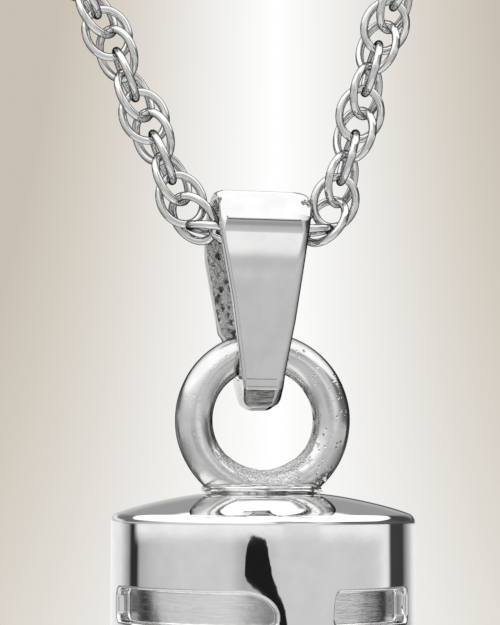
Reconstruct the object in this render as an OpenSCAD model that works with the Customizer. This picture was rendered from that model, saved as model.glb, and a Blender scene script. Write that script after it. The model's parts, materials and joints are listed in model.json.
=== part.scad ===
// Keepsake urn pendant on a rope chain, in millimetres.
// The origin is at the nape, in the middle of the clasp, where the necklace hangs.
// +Z is up, the front faces -Y and +X is the right of the front view.

/* [Urn] */
// Outside diameter of the urn
urn_d = 10; // [9:0.5:14]
// Height of the straight side, from the base to the cap's round edge
side_h = 18; // [14:0.5:26]
// Height of the domed cap above the straight side
dome_h = 0.87; // [0.6:0.01:1.3]
// Radius between the dome and the side
rim_r = 0.25; // [0.1:0.05:0.4]
// Diameter of the chamber
chamber_d = 6.2; // [4.6:0.1:6.6]
// Metal between the chamber and the foot of the dome
cap_wall = 1.6; // [1:0.1:3]
// Metal between the chamber and the base
base_wall = 3.2; // [2.8:0.1:5]

/* [Sunk panels] */
// Distance from the foot of the dome to the panels' upper edge
panel_drop = 2.05; // [1:0.05:4]
// Height of the panels
panel_h = 1.05; // [0.8:0.05:3]
// Depth of the panels
panel_depth = 0.45; // [0.3:0.05:0.8]
// Radius of the panels' upper corners
panel_corner_r = 0.55; // [0.2:0.05:0.7]
// Width of the bars between the panels
bar_w = 1.78; // [0.8:0.02:2.6]

/* [Collar and ring] */
// Diameter of the collar that carries the ring
collar_d = 3.9; // [3.4:0.1:5]
// Height of the collar above the top of the dome
collar_rise = 0.21; // [0.1:0.01:0.6]
// Diameter of the solder bead round the collar's foot
solder_d = 4.3; // [4.1:0.1:5.4]
// Height of the solder bead above the dome at the collar
solder_h = 0.1; // [0.05:0.01:0.2]
// Outside diameter of the ring
ring_d = 5.85; // [5.2:0.05:7]
// Thickness of the ring's wire
ring_wire = 1.24; // [0.9:0.02:1.4]
// Depth of the ring's foot in the collar
ring_sink = 0.66; // [0.4:0.02:0.9]
// Turn of the ring to the right of the front view
ring_turn = 8; // [4:1:12]
// Distance that the ring hangs to the right of the bail's middle
ring_shift = 0.1; // [0:0.01:0.2]

/* [Bail] */
// Height of the bail
bail_h = 7.35; // [7:0.05:10]
// Width of the bail at the top
bail_top_w = 3.2; // [2.6:0.1:4.5]
// Width of the bail at the tip
bail_tip_w = 1.1; // [0.8:0.05:1.6]
// Depth of the bail at the top, front to back
bail_top_depth = 2.84; // [2.7:0.02:3.6]
// Depth of the bail at the tip, front to back
bail_tip_depth = 2.2; // [2.1:0.02:2.6]
// Thickness of the strip at the top
bail_wall = 0.33; // [0.25:0.01:0.4]
// Metal under the ring at the tip
tip_wall = 1.04; // [0.6:0.02:1.3]
// Flare of the ring's seat at the bail's edges
seat_flare = 0.12; // [0.08:0.01:0.15]
// Turn of the bail to the right of the front view
bail_turn = 12; // [0:1:14]

/* [Chain and clasp] */
// Width of the rope chain
chain_w = 1.7; // [1.2:0.05:1.75]
// Outside diameter of the spring ring
clasp_d = 6; // [5:0.1:8]
// Thickness of the spring ring's tube
clasp_wire = 1.1; // [0.8:0.05:1.4]
// Length of the cups beside the spring ring that hold the chain's ends
cup_len = 2; // [1:0.1:3]
// Diameter of the trigger's knob
trigger_d = 0.7; // [0.5:0.05:0.8]
// Length of the trigger outside the spring ring
trigger_len = 1; // [0.6:0.1:1.6]

/* [Filler plug] */
// Diameter of the plug's shank
shank_d = 2.9; // [2.2:0.1:3.2]
// Diameter of the plug's head
head_d = 4.4; // [4:0.1:4.6]
// Height of the plug's head
head_h = 0.9; // [0.8:0.05:1.4]
// Width of the slot in the head
slot_w = 0.6; // [0.4:0.05:1]
// Depth of the slot in the head
slot_depth = 0.45; // [0.2:0.05:0.6]

/* [Clearances] */
// Gap between the bail's top and the chain
chain_gap = 0.09; // [0.05:0.01:0.14]
// Gap between the bail's legs and the ring's wire
ring_gap = 0.26; // [0.22:0.01:0.3]
// Lift of the ring's wire above the middle of its seat
ring_lift = 0.08; // [0.04:0.01:0.12]
// Gap round the filler plug
plug_gap = 0.1; // [0.05:0.01:0.15]

/* [Hidden] */
$fn = 96;

// Each list of the chain's route runs down one side, from the nape to the last bend above the bail.
route_right = [[14, -1, -1], [24, -5, -2], [34, -12, -3], [42, -22, -5], [48, -34, -8],
    [51, -47, -13], [51, -59, -21], [48, -70, -31], [44, -79, -43], [39, -87, -55],
    [33, -93, -68], [27, -97, -81], [20, -99, -95], [14, -100, -106], [8.5, -100, -117]];
route_left = [[-14, -1, -1], [-24, -5, -2], [-34, -12, -3], [-42, -22, -5], [-48, -34, -8],
    [-51, -47, -13], [-51, -59, -21], [-48, -70, -31], [-44, -79, -43], [-39, -87, -55],
    [-33, -93, -68], [-27, -97, -81], [-21, -99, -95], [-16, -100, -106], [-10.5, -100, -117]];
// Points of the route at the bail, counted from the middle of its top.
route_bail = [[4.5, 0.2, 7.6], [3.4, 0.3, 4], [2.8, 0.4, 2], [2.4, 0.45, 0.7], [1.7, 0.36, 0],
    [0, 0, 0], [-1.7, -0.36, 0], [-2.5, -0.45, 0.7], [-3.1, -0.4, 2], [-4, -0.3, 4], [-5.7, -0.2, 7.6]];
// Middle of the chain under the bail's top
hang = [0, -100, -133];
chain_sides = 10;
// Rings of the chain's tube in each stretch between two points of the route
rings_per_stretch = 2;

// Bars between the sunk panels, by their angle from the front towards the right.
bars = [16, 77, 179.25, 280.5];
// The bar at the back, where the revolved faces start
BACK = 2;
// Lift of the corner rounds' middle, so that they cross the panels' upper edge
corner_lift = 0.02;

// Overrun of a cut past the face that it opens
over = 0.5;
urn_r = urn_d / 2;
panel_floor_r = urn_r - panel_depth;

// The bail's two round ends: heights are counted from the middle of the chain.
bail_top_r = bail_top_depth / 2;
bail_tip_r = bail_tip_depth / 2;
eye_r = bail_top_r - bail_wall;
eye_z = -(eye_r - chain_w / 2 - chain_gap);
bail_top_z = eye_z + bail_top_r;
bail_tip_z = bail_top_z - bail_h;
seat_r = ring_wire / 2 + ring_gap;
seat_z = bail_tip_z + tip_wall + seat_r;

// Heights of the urn, counted from the middle of the chain too.
ring_line_r = (ring_d - ring_wire) / 2;
ring_z = seat_z + ring_lift - ring_line_r;
collar_z = ring_z - ring_d / 2 + ring_sink;
dome_z = collar_z - collar_rise;
side_z = dome_z - dome_h;
base_z = side_z - side_h;
chamber_top_z = side_z - cap_wall;
chamber_z = base_z + base_wall;
panel_z = side_z - panel_drop - panel_h;
// Middle of the urn, under the ring
urn_place = hang + [ring_shift, 0, 0];

// The dome is one arc that runs smoothly into the rim's round.
rim_line_r = urn_r - rim_r;
dome_r = (rim_line_r * rim_line_r + dome_h * dome_h - rim_r * rim_r) / (2 * (dome_h - rim_r));
dome_edge_x = rim_line_r * dome_r / (dome_r - rim_r);

clasp_line_r = (clasp_d - clasp_wire) / 2;
clasp_end_x = clasp_d / 2 + cup_len;

// Points of the route, from the right of the clasp round to its left.
function reversed(list) = [for (i = [len(list) - 1 : -1 : 0]) list[i]];
route = concat([[clasp_end_x, 0, 0]], route_right, [for (p = route_bail) hang + p],
    reversed(route_left), [[-clasp_end_x, 0, 0]]);

// A smooth curve through points b and c, with a and d beside them.
function curve(a, b, c, d, t) =
    0.5 * (2 * b + (c - a) * t + (2 * a - 5 * b + 4 * c - d) * t * t + (3 * b - a - 3 * c + d) * t * t * t);
function point(i) = route[max(0, min(len(route) - 1, i))];
function unit(v) = v / norm(v);
function across(v, axis) = unit(v - (v * axis) * axis);

line = concat([for (i = [0 : len(route) - 2], k = [0 : rings_per_stretch - 1])
    curve(point(i - 1), point(i), point(i + 1), point(i + 2), k / rings_per_stretch)],
    [point(len(route) - 1)]);
last = len(line) - 1;
// The tube's first and last rings stand square to the clasp's end faces.
tangents = [for (i = [0 : last]) i == 0 || i == last ? [1, 0, 0] : unit(line[i + 1] - line[i - 1])];
normals = [for (i = 0, n = [0, 0, 1]; i <= last; i = i + 1, n = i <= last ? across(n, tangents[i]) : n) n];

module tube(r, sides) {
    step = 360 / sides;
    points = [for (i = [0 : last], k = [0 : sides - 1])
        line[i] + r * (cos(k * step) * normals[i] + sin(k * step) * cross(tangents[i], normals[i]))];
    walls = [for (i = [0 : last - 1], k = [0 : sides - 1]) let (a = i * sides, j = (k + 1) % sides)
        [a + k, a + sides + k, a + sides + j, a + j]];
    ends = [[for (k = [0 : sides - 1]) k], [for (k = [sides - 1 : -1 : 0]) last * sides + k]];
    polyhedron(points, concat(walls, ends), convexity = 6);
}

// The rope chain as one closed loop of its outer width, from one end of the clasp to the other.
module chain() {
    color("silver") tube(chain_w / 2, chain_sides);
}

// The spring ring, with a round cup on each side that holds the chain's end.
module clasp() {
    color("silver") {
        rotate([90, 0, 0]) rotate_extrude() translate([clasp_line_r, 0]) circle(d = clasp_wire);
        for (side = [-1, 1]) translate([side * clasp_line_r, 0, 0]) rotate([0, side * 90, 0])
            cylinder(h = clasp_end_x - clasp_line_r, d = chain_w);
        rotate([0, -45, 0]) translate([clasp_line_r, 0, 0]) rotate([0, 90, 0])
            cylinder(h = clasp_wire / 2 + trigger_len, d = trigger_d);
    }
}

// A loop's side outline: two round ends joined by the straight lines that touch both.
module loop_outline(top_z, top_r, tip_z, tip_r) {
    lean = -(top_r - tip_r) / (top_z - tip_z);
    touch = [sqrt(1 - lean * lean), lean];
    translate([0, top_z]) circle(top_r);
    translate([0, tip_z]) circle(tip_r);
    polygon([[touch.x * top_r, top_z + touch.y * top_r], [-touch.x * top_r, top_z + touch.y * top_r],
        [-touch.x * tip_r, tip_z + touch.y * tip_r], [touch.x * tip_r, tip_z + touch.y * tip_r]]);
}

// The seat's flare at both edges of the bail, so that the ring can swing over them.
module seat_flares() {
    flare_w = bail_top_w / 2;
    slope = seat_flare / (bail_tip_w / 2);
    for (side = [-1, 1]) translate([side * bail_tip_w / 4, 0, seat_z]) rotate([0, side * 90, 0])
        cylinder(h = flare_w, r1 = seat_r, r2 = seat_r + flare_w * slope);
}

// The bail's front outline, which runs on past both ends of the bail.
module bail_front() {
    spread = (bail_top_w - bail_tip_w) / bail_h * over;
    top = bail_top_w / 2 + spread / 2;
    tip = bail_tip_w / 2 - spread / 2;
    polygon([[-top, bail_top_z + over], [top, bail_top_z + over],
        [tip, bail_tip_z - over], [-tip, bail_tip_z - over]]);
}

// A tapered strip folded over the chain, closed to a solid tip under the ring.
module bail() {
    color("gainsboro") translate(hang) rotate([0, 0, bail_turn]) difference() {
        intersection() {
            rotate([90, 0, 90]) linear_extrude(bail_top_w + over, center = true) difference() {
                loop_outline(eye_z, bail_top_r, bail_tip_z + bail_tip_r, bail_tip_r);
                loop_outline(eye_z, eye_r, seat_z, seat_r);
            }
            rotate([90, 0, 0]) linear_extrude(bail_top_depth + over, center = true) bail_front();
        }
        seat_flares();
    }
}

// Half of the urn's section: the straight side, the rim's round and the dome.
module urn_section() {
    translate([0, base_z]) square([urn_r, side_h]);
    translate([rim_line_r, side_z]) circle(rim_r);
    intersection() {
        translate([0, dome_z - dome_r]) circle(dome_r, $fn = 360);
        translate([0, side_z]) square([dome_edge_x, dome_h + over]);
    }
}

// The collar under the ring, with the solder bead at its foot.
module collar() {
    foot_z = dome_z - dome_h;
    bead_z = dome_z - (dome_r - sqrt(dome_r * dome_r - solder_d * solder_d / 4));
    translate([0, 0, foot_z]) cylinder(h = collar_z - foot_z, d = collar_d);
    translate([0, 0, foot_z]) cylinder(h = bead_z - foot_z, d = solder_d);
    translate([0, 0, bead_z]) cylinder(h = solder_h, d1 = solder_d, d2 = collar_d);
}

module ring() {
    translate([0, 0, ring_z]) rotate([90, 0, ring_turn]) rotate_extrude()
        translate([ring_line_r, 0]) circle(d = ring_wire);
}

// The front outline of a bar between two panels, which widens in two rounds to the upper edge.
module bar_outline() {
    spread = bar_w / 2 + panel_corner_r;
    round_z = panel_h - panel_corner_r + corner_lift;
    translate([-bar_w / 2, -over]) square([bar_w, panel_h + 2 * over]);
    difference() {
        translate([-spread, round_z]) square([2 * spread, panel_corner_r + over]);
        for (side = [-1, 1]) translate([side * spread, round_z]) circle(panel_corner_r);
    }
}

// The belt of sunk panels that is cut from the urn's side, without the bars between them.
module panels() {
    difference() {
        at_bar(bars[BACK]) rotate_extrude()
            translate([panel_floor_r, panel_z]) square([panel_depth + over, panel_h]);
        for (angle = bars) at_bar(angle) translate([0, 0, panel_z]) rotate([90, 0, 90])
            linear_extrude(urn_d) bar_outline();
    }
}

// Turns what lies along +X to an angle that is counted from the front towards the right.
module at_bar(angle) {
    rotate([0, 0, angle - 90]) children();
}

// The chamber, the filler hole under it and the seat of the plug's head.
module urn_hollow() {
    hole_d = shank_d + 2 * plug_gap;
    seat_d = head_d + 2 * plug_gap;
    translate([0, 0, chamber_z]) cylinder(h = chamber_top_z - chamber_z, d = chamber_d);
    translate([0, 0, base_z - over]) cylinder(h = base_wall + 2 * over, d = hole_d);
    translate([0, 0, base_z - over]) cylinder(h = head_h + plug_gap + over, d = seat_d);
}

// The hollow urn with its panels, and the collar and ring soldered to its cap.
module urn_body() {
    color("silver") translate(urn_place) {
        difference() {
            at_bar(bars[BACK]) rotate_extrude() urn_section();
            urn_hollow();
            panels();
        }
        collar();
        ring();
    }
}

// The plug that closes the chamber, with its head flush with the base.
module filler_plug() {
    color("gainsboro") translate(urn_place + [0, 0, base_z]) difference() {
        union() {
            cylinder(h = head_h, d = head_d);
            cylinder(h = base_wall - plug_gap, d = shank_d);
        }
        translate([-head_d, -slot_w / 2, -over]) cube([2 * head_d, slot_w, slot_depth + over]);
    }
}

chain();
clasp();
bail();
urn_body();
filler_plug();
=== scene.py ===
"""Keepsake urn pendant on a rope chain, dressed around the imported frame.

Lengths are in millimetres until a mesh is made, and heights of the bail and urn are counted
from the middle of the chain under the bail's top. The front faces -Y and +X is its right.
"""
import json
import random
from math import acos, asin, atan2, ceil, copysign, cos, degrees, floor, pi, radians, sin, sqrt, tan

import bpy
import numpy as np
from mathutils import Matrix, Vector, noise


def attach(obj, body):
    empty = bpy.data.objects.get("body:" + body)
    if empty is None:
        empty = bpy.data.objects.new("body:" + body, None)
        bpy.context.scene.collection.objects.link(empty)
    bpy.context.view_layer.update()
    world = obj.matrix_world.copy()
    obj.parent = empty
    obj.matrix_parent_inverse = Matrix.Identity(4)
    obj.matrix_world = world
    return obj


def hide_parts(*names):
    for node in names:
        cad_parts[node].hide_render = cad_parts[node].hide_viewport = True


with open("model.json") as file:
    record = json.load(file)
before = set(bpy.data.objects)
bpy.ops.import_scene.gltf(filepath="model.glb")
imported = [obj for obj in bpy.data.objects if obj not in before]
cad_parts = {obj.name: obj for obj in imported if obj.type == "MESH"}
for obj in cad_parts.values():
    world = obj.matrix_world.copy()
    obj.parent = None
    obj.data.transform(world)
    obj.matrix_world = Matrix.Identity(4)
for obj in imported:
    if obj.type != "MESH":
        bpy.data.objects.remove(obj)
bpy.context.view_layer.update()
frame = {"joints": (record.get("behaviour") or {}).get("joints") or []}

MM = 0.001
joints = {joint["name"]: joint for joint in frame["joints"]}
HANG = np.array(joints["bail_swing"]["pos_m"]) / MM
SEAT = np.array(joints["urn_swing"]["pos_m"]) / MM
URN = np.array([SEAT[0], SEAT[1], HANG[2]])

# Urn
URN_R = 5.0
SIDE_H = 18.0
SIDE_Z = -9.73
DOME_H = 0.87
DOME_Z = SIDE_Z + DOME_H
BASE_Z = SIDE_Z - SIDE_H
BASE_EDGE_R = 0.2
CHAMBER_R = 3.1
CAP_WALL = 1.6
BASE_WALL = 3.2
HOLE_R = 1.55
HEAD_SEAT_R = 2.3
HEAD_SEAT_H = 1.0
# The cap's rounded edge and where it ends, then the top's slope in degrees at each radius
RIM_R = 0.31
RIM_START = radians(70)
RIM_STEPS = 12
CAP_STEPS = 36
CAP_SLOPES = ((0, 0), (1.6, 5), (2.2, 7.5), (3.0, 11), (3.6, 13), (4.2, 15.5), (4.79, 20))
# Joins of the inside's rows that are satin, from the chamber's top to the seat of the plug's head
SATIN_JOINS = 23

# Sunk panels, each between two upright bars
PANEL_TOP = SIDE_Z - 2.05
PANEL_LOW = PANEL_TOP - 1.05
PANEL_DEPTH = 0.45
PANEL_EDGE_R = 0.11
PANEL_FOOT_R = 0.09
PANEL_WAVE = 0.012
BAR_ANGLES = (15.2, 77.0, 179.25, 280.5)
BAR_HALF_W = 0.94
# Half axes of each panel's corners, from the lower left one round to the upper left one
PANEL_CORNERS = (
    ((0.2, 0.3), (0.25, 0.25), (0.25, 0.25), (0.2, 0.62)),
    ((0.45, 0.3), (0.45, 0.3), (0.5, 0.5), (0.5, 0.5)),
    ((0.45, 0.3), (0.45, 0.3), (0.5, 0.5), (0.5, 0.5)),
    ((0.3, 0.3), (0.3, 0.25), (1.1, 0.72), (0.3, 0.3)),
)
# The mesh round the urn: columns in all, and the height and rows of a panel's cell
COLUMNS = 480
CELL_MARGIN = 0.2
CELL_TALL = 26
ROUND_STEPS = 6

# Ring and collar
RING_Z = -6.385
RING_LINE_R = 2.305
RING_WIRE_R = 0.62
RING_TURN = radians(8)
RING_AROUND, RING_ACROSS = 220, 48
COLLAR_TOP_Z = -8.47
COLLAR_SHIFT = -0.06
COLLAR_COLUMNS = 260
# Drops and slivers of solder beside the collar: middle and half axes
SPURS = (
    ((2.03, -0.35, -8.32), (0.085, 0.085, 0.085)),
    ((-1.66, 0, -8.36), (0.3, 0.3, 0.24)),
    ((1.66, 0, -8.36), (0.3, 0.3, 0.22)),
    ((2.1, -0.2, -8.93), (0.24, 0.12, 0.035)),
    ((-2.12, -0.2, -8.86), (0.1, 0.08, 0.045)),
    ((1.75, -0.8, -8.72), (0.2, 0.1, 0.05)),
    ((-1.5, -1.2, -8.7), (0.22, 0.1, 0.045)),
)
BLOB_ROWS, BLOB_COLUMNS = 10, 14

# Bail
EYE_Z = -0.15
EYE_R = 1.09
BAIL_TOP_R = 1.42
BAIL_TIP_R = 1.1
BAIL_TOP_Z = EYE_Z + BAIL_TOP_R
BAIL_TIP_Z = -6.08
SEAT_Z = -4.16
SEAT_R = 0.88
BAIL_TOP_W = 3.2
BAIL_TIP_W = 1.1
BAIL_TURN = radians(12)
TIP_CORNER_R = 0.3
# Steps along the bail's side outline: a quarter of its top, a leg and its tip
TOP_STEPS, LEG_STEPS, TIP_STEPS = 40, 64, 60
# Steps across the strip: its outside, its inside and each rounded edge
FACE_STEPS, INNER_STEPS, EDGE_STEPS = 12, 20, 8
# Front facet of the bail's tip, by the direction that the round tip faces under the level
FACET = (radians(23), radians(62))
# Slight fullness of the bail's front under its bend: where it starts, is fullest and ends, and its height
BULGE_TOP = -0.15
BULGE_FULL = -1.3
BULGE_END = -4.9
BULGE = 0.036
BULGE_POWER = 1.6
# The bend's start: its lower end, its tilt there and the tilt's fade up the bend
BEND_LOW = -0.3
BEND_EARLY = 0.1
BEND_FADE = 0.4
# Below this height the ring has worn the edges of the bail's inside
WORN_TOP = -2.9
# Depth of the inside under the strip's inner outline, and the height of its unevenness
INSIDE_SUNK = 0.01
INSIDE_GRAIN = 0.006
# How much further the uneven strip reaches at its edges, as (height, extra) from the tip up
MORE_LEFT_FRONT = ((-6.1, 0.08), (-4.9, 0.1), (-2.5, 0.1), (-0.5, 0.2), (0.2, 0.18), (0.9, 0.04), (1.3, 0.0))
MORE_LEFT_BACK = ((-3.95, 0.0), (-3.45, 0.3), (-1.0, 0.36), (0.0, 0.25), (0.9, 0.04), (1.3, 0.0))
MORE_RIGHT_FRONT = ((-5.8, 0.0), (-5.0, -0.08), (-3.2, 0.0))

# Chain: its links, fine near the bail and plainer far from it, as steps round a link and round its wire
FINE_LINK = (44, 12, 0.138)
FAR_LINK = (18, 6, 0.125)
FINE_REACH = 24
LINK_HALF_L = 0.865
LINK_HALF_W = 0.7
LINK_PITCH = 0.745
LINK_TURN = radians(45)
LINK_SHIFT = 0.022
LINK_LEAN = 0.04
# Free length between the first or last link's middle and the clasp's cap
END_GAP = 0.6
# The route's points down the right side from the clasp (the left side mirrors them), where the two
# sides differ above the bail, and through the bail, counted from the hanging point
ROUTE_SIDE = ((14, -1, -1), (24, -5, -2), (34, -12, -3), (42, -22, -5), (48, -34, -8), (51, -47, -13),
              (51, -59, -21), (48, -70, -31), (44, -79, -43), (39, -87, -55), (33, -93, -68), (27, -97, -81))
ROUTE_RIGHT = ((20, -99, -95), (14, -100, -106), (8.5, -100, -117))
ROUTE_LEFT = ((-10.5, -100, -117), (-16, -100, -106), (-21, -99, -95))
ROUTE_BAIL = ((4.5, 0.2, 7.6), (3.4, 0.3, 4), (2.8, 0.4, 2), (2.4, 0.45, 0.7), (1.7, 0.36, 0), (0, 0, 0),
              (-1.7, -0.36, 0), (-2.5, -0.45, 0.7), (-3.1, -0.4, 2), (-4, -0.3, 4), (-5.7, -0.2, 7.6))
ROUTE_STEPS = 60
# Heights at which a link of each strand lies open to the front, and how far along the line to look
OPEN_RIGHT_Z = 4.0
OPEN_LEFT_Z = 6.62
OPEN_SEARCH = 400

# Clasp
CLASP_R = 3.0
CLASP_WIRE_R = 0.55
CLASP_END = 5.0
CLASP_AROUND, CLASP_ACROSS = 96, 24
# Angles of the two fine grooves where the ring opens, their half width and the wire's share there
GROOVE_ANGLES = (28, 118)
GROOVE_HALF = 1.5
GROOVE_SHARE = 0.93
LATHE_COLUMNS = 40

# Filler plug: its head with a slot, and its shank with a fine thread
HEAD_R = 2.2
HEAD_H = 0.9
SHANK_R = 1.45
PLUG_H = 3.08
PLUG_COLUMNS = 96
THREAD_DEEP = 0.04
THREAD_LOW = 0.25
THREAD_STEP = 0.11
THREAD_ROWS = 20
SLOT_HALF_L, SLOT_HALF_W, SLOT_DEEP = 2.6, 0.3, 0.45

# Materials after the first in the lists of the urn, the ring and the bail
URN_FLOOR, URN_INSIDE = 1, 2
RING_COLLAR, RING_SOLDER = 1, 2
BAIL_INSIDE, BAIL_FILED, BAIL_SHADED_EDGE = 1, 2, 3


def unit(v):
    v = np.asarray(v, float)
    return v / np.linalg.norm(v)


def mixed(a, b, share):
    """A point between two others."""
    return np.asarray(a) * (1 - share) + np.asarray(b) * share


def limited(value):
    """A value kept between 0 and 1."""
    return max(0.0, min(1.0, value))


def whole_turn(count):
    """The angles of a whole turn in equal steps."""
    return [2 * pi * k / count for k in range(count)]


def facing(angle):
    """The level direction at an angle counted from the front towards the right."""
    return np.array([sin(angle), -cos(angle), 0])


def turned(points, angle):
    """Turns points or directions round the vertical."""
    c, s = cos(angle), sin(angle)
    p = np.asarray(points, float)
    return np.stack([c * p[..., 0] - s * p[..., 1], s * p[..., 0] + c * p[..., 1], p[..., 2]], -1)


class Skin:
    """Collects the points, normals and faces of one piece."""

    def __init__(self):
        self.points, self.normals, self.faces, self.slots = [], [], [], []

    def row(self, points, normals=None):
        """Adds points and gives their numbers."""
        first = len(self.points)
        self.points.extend(map(tuple, points))
        self.normals.extend(map(tuple, points if normals is None else normals))
        return list(range(first, len(self.points)))

    def face(self, *corners, slot=0):
        self.faces.append(corners)
        self.slots.append(slot)

    def join(self, low, high, closed=True, slot=0):
        """Joins two rows of points by a band of faces."""
        count = len(low)
        for i in range(count if closed else count - 1):
            j = (i + 1) % count
            self.face(low[i], low[j], high[j], high[i], slot=slot)

    def rows(self, rows, slot=0):
        for low, high in zip(rows, rows[1:]):
            self.join(low, high, slot=slot)

    def close(self, row, point, normal=(0, 0, 1), slot=0):
        """Closes a row of points to one more."""
        tip = self.row([point], [normal])[0]
        for i, a in enumerate(row):
            self.face(a, row[(i + 1) % len(row)], tip, slot=slot)

    def build(self, name, place, materials, own_normals=False):
        """Makes the piece's mesh and object at its place."""
        mesh = bpy.data.meshes.new(name)
        points = (np.array(self.points) + np.asarray(place)) * MM
        mesh.from_pydata(points.tolist(), [], self.faces)
        for material in materials:
            mesh.materials.append(material)
        mesh.polygons.foreach_set("material_index", self.slots)
        mesh.polygons.foreach_set("use_smooth", [True] * len(self.faces))
        mesh.update()
        if own_normals:
            normals = np.array(self.normals)
            normals /= np.linalg.norm(normals, axis=1)[:, None]
            mesh.normals_split_custom_set_from_vertices(normals.tolist())
        made = bpy.data.objects.new(name, mesh)
        bpy.context.scene.collection.objects.link(made)
        return made


def finish_piece(piece, body, slot, *nodes):
    """Gives a piece its body and hides the solids that it replaces; its slot is not used."""
    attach(piece, body)
    if nodes:
        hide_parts(*nodes)


SECTION_SHARES = (0, 0.25, 0.5, 0.75, 1)


def rounded_section(corners):
    """Rounds a section's corners, each (r, z, radius), and gives rows of (r, z, normal r, normal z)."""
    rows = []
    ways = [unit(np.subtract(end[:2], start[:2])) for start, end in zip(corners, corners[1:])]
    for (r, z, radius), before, after in zip(corners, ways[:1] + ways, ways + ways[-1:]):
        out_before, out_after = np.array([before[1], -before[0]]), np.array([after[1], -after[0]])
        angle = acos(max(-1.0, min(1.0, float(before @ after))))
        if radius == 0 or angle < 0.001:
            rows.append((r, z, *unit(out_before + out_after)))
            continue
        side = 1 if before[0] * after[1] > before[1] * after[0] else -1
        centre = np.array([r, z]) - before * radius * tan(angle / 2) - side * radius * out_before
        for share in SECTION_SHARES:
            out = out_before * sin((1 - share) * angle) + out_after * sin(share * angle)
            out = out / sin(angle)
            rows.append((*(centre + side * radius * out), *out))
    return rows


def ring_row(skin, r, z, out_r, out_z, count=COLUMNS, wobble=None, shift_x=0.0):
    """A row of points round the vertical, counted from the front towards the right."""
    points, normals = [], []
    for a in whole_turn(count):
        radial = facing(a)
        shift = wobble(a, r, z) if wobble else 0
        points.append(radial * (r + shift * out_r) + [shift_x, 0, z + shift * out_z])
        normals.append(radial * out_r + [0, 0, out_z])
    return skin.row(points, normals)


def on_cylinder(s, z, depth):
    """A point at unrolled place s, z under the urn's surface, with its two directions."""
    radial = facing(s / URN_R)
    along = np.array([-radial[1], radial[0], 0])
    return radial * (URN_R - depth) + [0, 0, z], radial, along


def panel_loop(s0, s1, corners, wide):
    """A panel's outline as (s, z, normal s, normal z), anticlockwise from its lower left corner."""
    ends = ((s0, 1, PANEL_LOW, 1), (s1, -1, PANEL_LOW, 1), (s1, -1, PANEL_TOP, -1), (s0, 1, PANEL_TOP, -1))

    def corner_point(corner, angle):
        c, s = cos(angle), sin(angle)
        a, b = corners[corner]
        end_s, way_s, end_z, way_z = ends[corner]
        return (end_s + way_s * a + a * c, end_z + way_z * b + b * s, *unit([c / a, s / b]))

    loop = []
    half_corner = radians(45)
    for side in range(4):
        count = wide if side % 2 == 0 else CELL_TALL
        bend = min(8, count // 3)
        straight = count - 2 * bend
        base = radians(270 + 90 * side)
        end = (side + 1) % 4
        first, final = corner_point(side, base), corner_point(end, base)
        for k in range(count):
            if k < bend:
                loop.append(corner_point(side, base - half_corner * (1 - k / bend)))
            elif k <= bend + straight:
                loop.append((*mixed(first[:2], final[:2], (k - bend) / straight), *first[2:]))
            else:
                loop.append(corner_point(end, base + half_corner * (k - bend - straight) / bend))
    return loop


def panel_cell(skin, rim_loop, rim_flat, loop, wide):
    """Joins a cell's edge to its panel: the rounded edge, the wall, the foot and the floor."""
    previous = rim_loop

    def add(flat, lean, depth, slot=0):
        """Adds a row whose normals lean from the urn's surface towards the panel's middle."""
        nonlocal previous
        points, normals = [], []
        for (s, z), (_, _, n_s, n_z) in zip(flat, loop):
            point, radial, along = on_cylinder(s, z, depth)
            points.append(point)
            normals.append(cos(lean) * radial - sin(lean) * (n_s * along + n_z * np.array([0, 0, 1])))
        row = skin.row(points, normals)
        skin.join(previous, row, slot=slot)
        previous = row

    def offset(amount):
        return [(s + n_s * amount, z + n_z * amount) for s, z, n_s, n_z in loop]

    edge = offset(PANEL_EDGE_R)
    for share in (0.35, 0.7):
        add([mixed(a, b, share) for a, b in zip(rim_flat, edge)], 0, 0)
    turn = 90 // ROUND_STEPS
    for k in range(ROUND_STEPS + 1):
        lean = radians(turn * k)
        add(offset(PANEL_EDGE_R * (1 - sin(lean))), lean, PANEL_EDGE_R * (1 - cos(lean)))
    for k in range(ROUND_STEPS + 1):
        lean = radians(90 - turn * k)
        add(offset(-PANEL_FOOT_R * (1 - sin(lean))), lean,
            PANEL_DEPTH - PANEL_FOOT_R * (1 - cos(lean)), slot=URN_FLOOR if k > ROUND_STEPS / 2 else 0)

    def sides(row):
        """The four sides of a row round the floor: bottom, right, top and left."""
        corner = wide + CELL_TALL
        return (row[:wide + 1], row[wide:corner + 1], row[corner:corner + wide + 1][::-1],
                (row[corner + wide:] + row[:1])[::-1])

    bottom, right, top, left = sides(previous)
    below, beside, above, before = sides(offset(-PANEL_FOOT_R))
    grid = [bottom]
    for j in range(1, CELL_TALL):
        v = j / CELL_TALL
        points, normals = [], []
        for i in range(1, wide):
            u = i / wide
            spot = (mixed(below[i], above[i], v) + mixed(before[j], beside[j], u)
                    - mixed(mixed(below[0], below[-1], u), mixed(above[0], above[-1], u), v))
            fade = min(1.0, 6 * u, 6 * (1 - u), 4 * v, 4 * (1 - v))
            wave = PANEL_WAVE * noise.noise(Vector((spot[0] * 0.9, spot[1] * 2.2, 7.0))) * fade
            point, radial, _ = on_cylinder(spot[0], spot[1], PANEL_DEPTH - wave)
            points.append(point)
            normals.append(radial)
        grid.append([left[j]] + skin.row(points, normals) + [right[j]])
    grid.append(top)
    for low_row, high_row in zip(grid, grid[1:]):
        skin.join(low_row, high_row, closed=False, slot=URN_FLOOR)


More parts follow.
